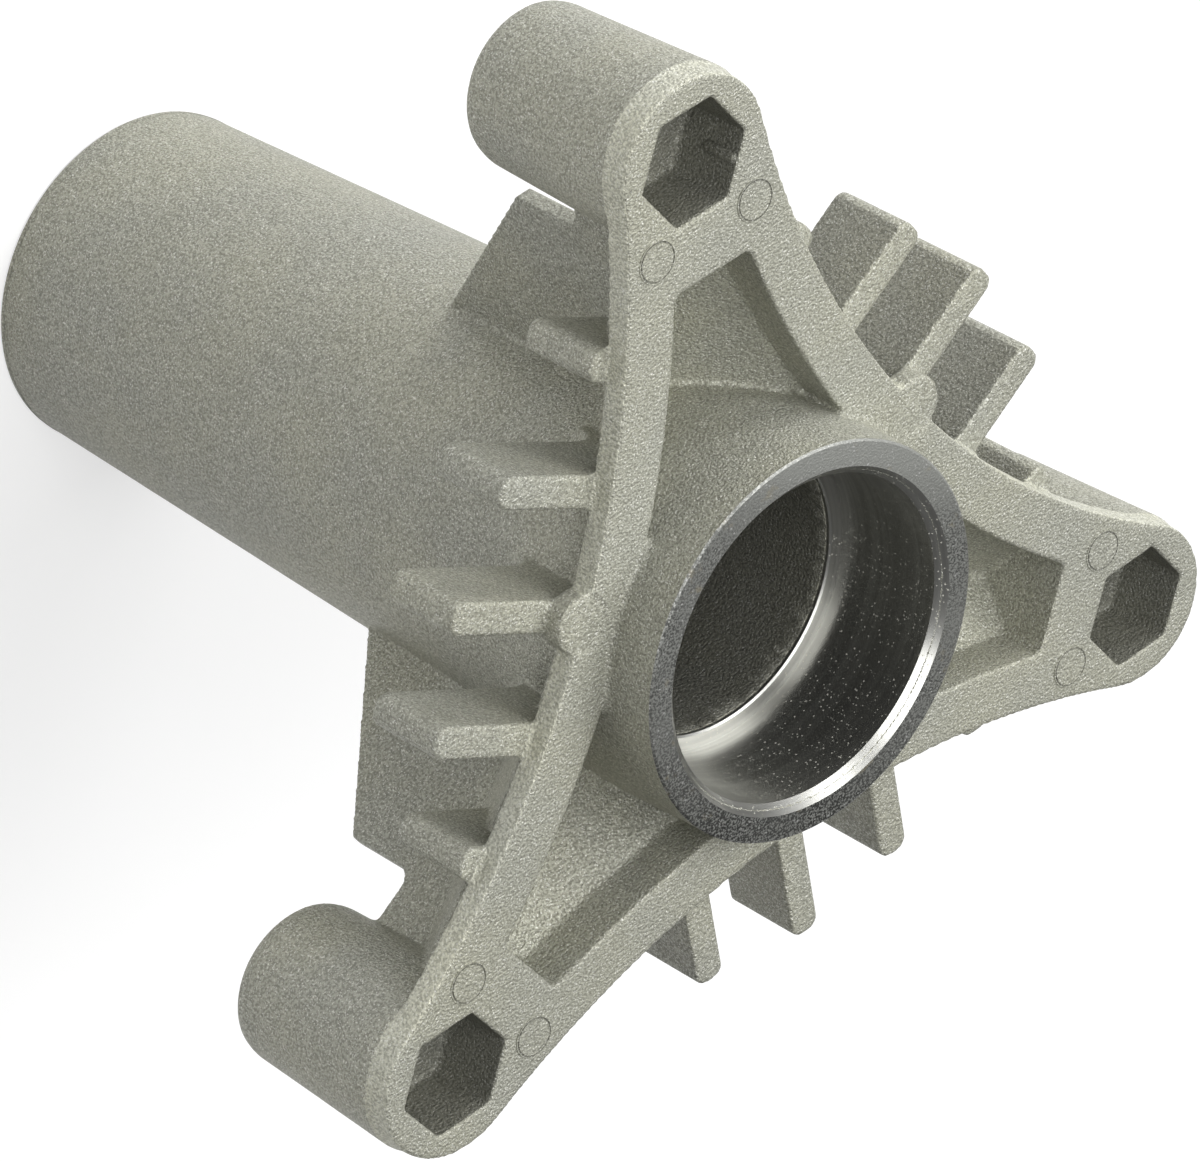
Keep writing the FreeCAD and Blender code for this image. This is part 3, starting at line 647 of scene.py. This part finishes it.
def drop_specks(mesh):
    """Delete the tiny loose islands that the voxel grid leaves in tight corners."""
    work = bmesh.new()
    work.from_mesh(mesh)
    left = set(work.verts)
    islands = []
    while left:
        island = []
        front = [left.pop()]
        while front:
            vertex = front.pop()
            island.append(vertex)
            for edge in vertex.link_edges:
                other = edge.other_vert(vertex)
                if other in left:
                    left.remove(other)
                    front.append(other)
        islands.append(island)
    islands.sort(key=len)
    for island in islands[:-1]:
        bmesh.ops.delete(work, geom=island, context="VERTS")
    work.to_mesh(mesh)
    work.free()


def rebuilt_skin(settings, seats):
    """The casting's skin on a fine voxel grid, softened, worked over point by point and
    thinned to the number of triangles that it may have."""
    draft = link_object("casting_draft", merged_copy(frame["nodes"][CASTING_NODE]))
    skin = draft.modifiers.new("Skin", "REMESH")
    skin.mode = "VOXEL"
    skin.voxel_size = settings.skin
    soften = draft.modifiers.new("Soften", "SMOOTH")
    soften.factor = 0.5
    soften.iterations = settings.softening
    fine = result_of(draft)
    normals = [vertex.normal.copy() for vertex in fine.vertices]
    for vertex, normal in zip(fine.vertices, normals):
        place = sink_pads(uneven(vertex.co, normal, settings.swell), settings.pad_sink)
        vertex.co = inside_box(clear_turned_zones(place, seats))
    draft.modifiers.clear()
    draft.data = fine
    thin = draft.modifiers.new("Thin", "DECIMATE")
    thin.ratio = min(1.0, settings.triangles / (2.0 * len(fine.polygons)))
    cast = result_of(draft)
    bpy.data.objects.remove(draft)
    drop_specks(cast)
    return cast


class HOUSING_OT_casting(bpy.types.Operator):
    """Rebuild the CAD solid's skin with soft cast edges"""
    bl_idname = "housing.casting"
    bl_label = "Casting"

    def execute(self, context):
        settings = context.scene.housing_casting
        seats = context.scene.housing_seats
        cast = rebuilt_skin(settings, seats)
        cast.name = "housing_casting"
        cast.materials.clear()
        for name in CAST_FINISHES_AND_SHADE:
            cast.materials.append(cast_material(settings, name))
        slots = list(CAST_FINISHES_AND_SHADE)
        bore_radius = seats.core_radius + seats.skin
        for face in cast.polygons:
            finish = cast_finish_and_shade(face.center, face.normal, bore_radius)
            face.material_index = slots.index(finish)
            face.use_smooth = True
        piece = link_object("housing_casting", cast)
        ride_root(piece)
        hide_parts(CASTING_NODE)
        return {"FINISHED"}


# Turned pieces

def turned_ring(name, profile, finish, materials):
    """Spin a closed profile of (radius, height) points about the tube's axis. Finish
    gives the material of the strip that each point starts."""
    work = bmesh.new()
    points = [work.verts.new((radius, 0, height)) for radius, height in profile]
    for point, after in zip(points, points[1:] + points[:1]):
        work.edges.new((point, after))
    bmesh.ops.spin(work, geom=work.verts[:] + work.edges[:], cent=(0, 0, 0), axis=(0, 0, 1),
                   angle=math.tau, steps=RING_STEPS, use_merge=True)
    bmesh.ops.recalc_face_normals(work, faces=work.faces)
    mesh = to_mesh(work, name, materials)
    middles = [((first[0] + second[0]) / 2, (first[1] + second[1]) / 2)
               for first, second in zip(profile, profile[1:] + profile[:1])]
    for face in mesh.polygons:
        here = (math.hypot(face.center.x, face.center.y), face.center.z)
        gaps = [math.dist(here, middle) for middle in middles]
        face.material_index = finish[gaps.index(min(gaps))]
    mesh.set_sharp_from_angle(angle=math.radians(25))
    ride_root(link_object(name, mesh))


class HOUSING_OT_seats(bpy.types.Operator):
    """Turn the two bearing seats and the faced ends"""
    bl_idname = "housing.seats"
    bl_label = "Turned seats"

    def execute(self, context):
        seats = context.scene.housing_seats
        cast = bpy.data.materials["blasted_casting"]
        wall = turned_material(seats, "turned_seat", 0.0)
        step = turned_material(seats, "turned_shoulder", 1.0)
        faced = faced_material(seats)
        materials = (wall, step, faced, cast)
        on_wall, on_step, on_face, on_cast = range(4)
        skin = seats.skin
        behind = FACE_THICKER * skin
        edge = 0.2 * MM
        proud = 0.03 * MM
        radius = UPPER_RADIUS
        shoulder = TOP - seats.depth
        turned_ring("upper_seat", (
            (seats.collar_radius + edge / 3, TOP - edge),
            (seats.collar_radius - edge, TOP),
            (radius + seats.lead, TOP),
            (radius, TOP - seats.lead),
            (radius, shoulder),
            (seats.core_radius + edge, shoulder),
            (seats.core_radius - proud, shoulder - edge),
            (seats.core_radius - proud, shoulder - skin),
            (radius + skin, shoulder - skin),
            (radius + skin, TOP - seats.lead - skin),
            (radius + seats.lead + skin, TOP - behind),
            (seats.collar_radius + 2 * proud, TOP - behind)),
            (on_face, on_face, on_step, on_wall, on_step, on_step, on_wall, on_wall,
             on_wall, on_wall, on_wall, on_cast), materials)
        radius = LOWER_RADIUS
        turned_ring("lower_seat", (
            (seats.end_radius, seats.end_bevel),
            (seats.end_radius - seats.end_bevel, 0),
            (radius + edge, 0),
            (radius, edge),
            (radius, LOWER_DEPTH),
            (seats.core_end_radius + edge, LOWER_DEPTH),
            (seats.core_end_radius - proud, LOWER_DEPTH + edge),
            (seats.core_end_radius - proud, LOWER_DEPTH + skin),
            (radius + skin, LOWER_DEPTH + skin),
            (radius + skin, behind),
            (seats.end_radius + 2 * proud, behind)),
            (on_face, on_face, on_step, on_wall, on_step, on_step, on_wall, on_wall,
             on_wall, on_wall, on_cast), materials)
        return {"FINISHED"}


# Ejector pin marks

class HOUSING_OT_pin_marks(bpy.types.Operator):
    """Add the round marks that the mould's ejector pins left beside the bosses"""
    bl_idname = "housing.pin_marks"
    bl_label = "Pin marks"

    def execute(self, context):
        radius = context.scene.housing_casting.mark_radius
        inner, outer = radius - 0.27 * MM, radius - 0.06 * MM
        slope = 0.06 * MM
        # Heights over the flange's face: a low disc, a groove round it, its rim and its root.
        disc, groove, rim, root = 0.13 * MM, 0.03 * MM, 0.12 * MM, -0.3 * MM
        profile = ((0, disc), (inner, disc), (inner + slope, groove), (outer - slope, groove),
                   (outer, rim), (radius + slope, rim), (radius + 2 * slope, root), (0, root))
        spots = [turned((side * PIN_ASIDE, PIN_OUT, FLANGE), turn)
                 for turn in ARM_TURNS for side in (-1, 1)]
        work = bmesh.new()
        for spot in spots:
            line = [work.verts.new(spot + Vector((out, 0, up))) for out, up in profile]
            edges = [work.edges.new(pair) for pair in zip(line, line[1:])]
            bmesh.ops.spin(work, geom=line + edges, cent=spot, axis=(0, 0, 1),
                           angle=math.tau, steps=MARK_STEPS, use_merge=True)
        bmesh.ops.remove_doubles(work, verts=work.verts, dist=MERGE)
        bmesh.ops.recalc_face_normals(work, faces=work.faces)
        # The groove's floor takes the socket material, darkened with painted shade, which draws a
        # dark ring round each mark.
        plain, dark = (bpy.data.materials[name] for name in ("blasted_casting", "shaded_socket"))
        mesh = to_mesh(work, "pin_marks", (plain, dark))
        for face in mesh.polygons:
            out = min(aside(face.center, spot) for spot in spots)
            if inner < out < outer and face.center.z > FLANGE:
                face.material_index = 1
        mesh.set_sharp_from_angle(angle=math.radians(40))
        ride_root(link_object("pin_marks", mesh))
        return {"FINISHED"}


# Casting flash

class HOUSING_OT_socket_flash(bpy.types.Operator):
    """Leave a lump of flash on the wall of the socket in the arm along +Y"""
    bl_idname = "housing.socket_flash"
    bl_label = "Socket flash"

    def execute(self, context):
        work = bmesh.new()
        made = bmesh.ops.create_cube(work, size=1.0)
        bmesh.ops.scale(work, verts=made["verts"], vec=FLASH_SIZE)
        bmesh.ops.bevel(work, geom=work.edges[:], offset=FLASH_ROUND, segments=3, profile=0.5,
                        affect="EDGES", material=-1)
        turn = Matrix.Rotation(math.radians(FLASH_TURN), 4, "Z")
        bmesh.ops.transform(work, verts=work.verts, matrix=Matrix.Translation(FLASH_PLACE) @ turn)
        # The lump takes the socket material, darkened with painted shade.
        mesh = to_mesh(work, "socket_flash", (bpy.data.materials["shaded_socket"],))
        ride_root(link_object("socket_flash", mesh))
        return {"FINISHED"}


# The stage

# The camera's place is measured from the middle of the collar's face. The azimuth and
# elevation, in degrees, say where its back faces, and the roll lays the standing part on
# its side, as in the photograph. The shift is in widths of the picture.
CAMERA_PLACE = Vector((-0.46056, 0.561535, 0.594511))
CAMERA_AZIMUTH = 129.16746
CAMERA_ELEVATION = 40.86894
CAMERA_ROLL = 118.67877
CAMERA_SHIFT = (-0.00101, -0.02424)

# The lamps stand round this point, all at one distance.
LAMP_AIM = Vector((0, 0, 0.07))
LAMP_DISTANCE = 1.1
BROAD_LAMP = 0.8
SMALL_LAMP = 0.5

WHITE = (1.0, 1.0, 1.0)
PAPER = (0.5, 0.5, 0.5)


def area_lamp(name, way, size, power):
    """A square soft lamp that stands off from the part in one direction."""
    lamp = bpy.data.lights.new(name, "AREA")
    lamp.shape = "SQUARE"
    lamp.size = size
    lamp.energy = power
    holder = link_object(name, lamp)
    holder.location = LAMP_AIM + Vector(way).normalized() * LAMP_DISTANCE
    holder.rotation_mode = "QUATERNION"
    holder.rotation_quaternion = (LAMP_AIM - holder.location).to_track_quat("-Z", "Y")


def paper_material(glow):
    """White studio paper. The camera and reflections see it a little lifted, and the
    part's shadow stays on it."""
    material, tree, shader = new_material("studio_paper", 0.0, 0.9)[:3]
    shader.inputs["Base Color"].default_value = shade(PAPER)
    shader.inputs["Emission Color"].default_value = shade(WHITE)
    ray = tree.node("ShaderNodeLightPath").outputs
    seen = tree.math("MAXIMUM", ray["Is Camera Ray"],
                     tree.math("MAXIMUM", ray["Is Glossy Ray"], ray["Is Transmission Ray"]))
    tree.link(tree.math("MULTIPLY", seen, glow), shader.inputs["Emission Strength"])
    return material


def room_world(sky):
    """An even, dim room."""
    world = bpy.data.worlds.new("studio_room")
    world.use_nodes = True
    light = world.node_tree.nodes["Background"]
    light.inputs["Color"].default_value = shade(WHITE)
    light.inputs["Strength"].default_value = sky
    return world


def camera_turn():
    """The camera's right, up and back in the part's frame, as a rotation."""
    azimuth, elevation, roll = (
        math.radians(angle) for angle in (CAMERA_AZIMUTH, CAMERA_ELEVATION, CAMERA_ROLL))
    level = Vector((-math.sin(azimuth), math.cos(azimuth), 0))
    back = Vector((math.cos(elevation) * math.cos(azimuth),
                   math.cos(elevation) * math.sin(azimuth), math.sin(elevation)))
    right = level * math.cos(roll) + back.cross(level) * math.sin(roll)
    return Matrix((right, back.cross(right), back)).transposed()


class HOUSING_OT_stage(bpy.types.Operator):
    """Lay the floor and set up the lamps and the camera"""
    bl_idname = "housing.stage"
    bl_label = "Stage"

    def execute(self, context):
        settings = context.scene.housing_stage
        scene = context.scene
        work = bmesh.new()
        bmesh.ops.create_grid(work, x_segments=1, y_segments=1, size=settings.floor_size / 2)
        sheet = to_mesh(work, "studio_floor", (paper_material(settings.glow),))
        link_object("studio_floor", sheet)

        area_lamp("key_lamp", (0.45, 0.30, 0.85), BROAD_LAMP, settings.key_power)
        area_lamp("over_lamp", (-0.33, 0.41, 0.85), BROAD_LAMP, settings.over_power)
        area_lamp("rim_lamp", (0.75, 0.65, 0.12), SMALL_LAMP, settings.rim_power)
        scene.world = room_world(settings.sky)

        data = bpy.data.cameras.new("photo_camera")
        data.sensor_width = 36
        data.lens = settings.lens
        data.shift_x, data.shift_y = CAMERA_SHIFT
        data.clip_start = 0.05
        data.clip_end = 20
        camera = link_object("photo_camera", data)
        place = CAMERA_PLACE + Vector((0, 0, TOP))
        camera.matrix_world = Matrix.Translation(place) @ camera_turn().to_4x4()
        scene.camera = camera
        scene.view_settings.view_transform = "Standard"
        return {"FINISHED"}


class HOUSING_PT_sidebar(bpy.types.Panel):
    """The housing's pieces, in the order in which they are built"""
    bl_label = "Spindle housing"
    bl_idname = "HOUSING_PT_sidebar"
    bl_space_type = "VIEW_3D"
    bl_region_type = "UI"
    bl_category = "Spindle"

    def draw(self, context):
        scene = context.scene
        for settings in (scene.housing_casting, scene.housing_seats, scene.housing_stage):
            box = self.layout.box()
            for name in settings.__annotations__:
                box.prop(settings, name)
        for operator in PIECES:
            self.layout.operator(operator.bl_idname)


PIECES = (HOUSING_OT_casting, HOUSING_OT_seats, HOUSING_OT_pin_marks, HOUSING_OT_socket_flash,
          HOUSING_OT_stage)
SETTINGS = {"housing_casting": CastingSettings, "housing_seats": SeatSettings,
            "housing_stage": StageSettings}
CLASSES = (*SETTINGS.values(), *PIECES, HOUSING_PT_sidebar)


def register():
    for cls in CLASSES:
        bpy.utils.register_class(cls)
    for name, cls in SETTINGS.items():
        setattr(bpy.types.Scene, name, bpy.props.PointerProperty(type=cls))


def unregister():
    for name in SETTINGS:
        delattr(bpy.types.Scene, name)
    for cls in reversed(CLASSES):
        bpy.utils.unregister_class(cls)


def main():
    register()
    bpy.ops.housing.casting()
    bpy.ops.housing.seats()
    bpy.ops.housing.pin_marks()
    bpy.ops.housing.socket_flash()
    bpy.ops.housing.stage()


if __name__ == "__main__":
    main()
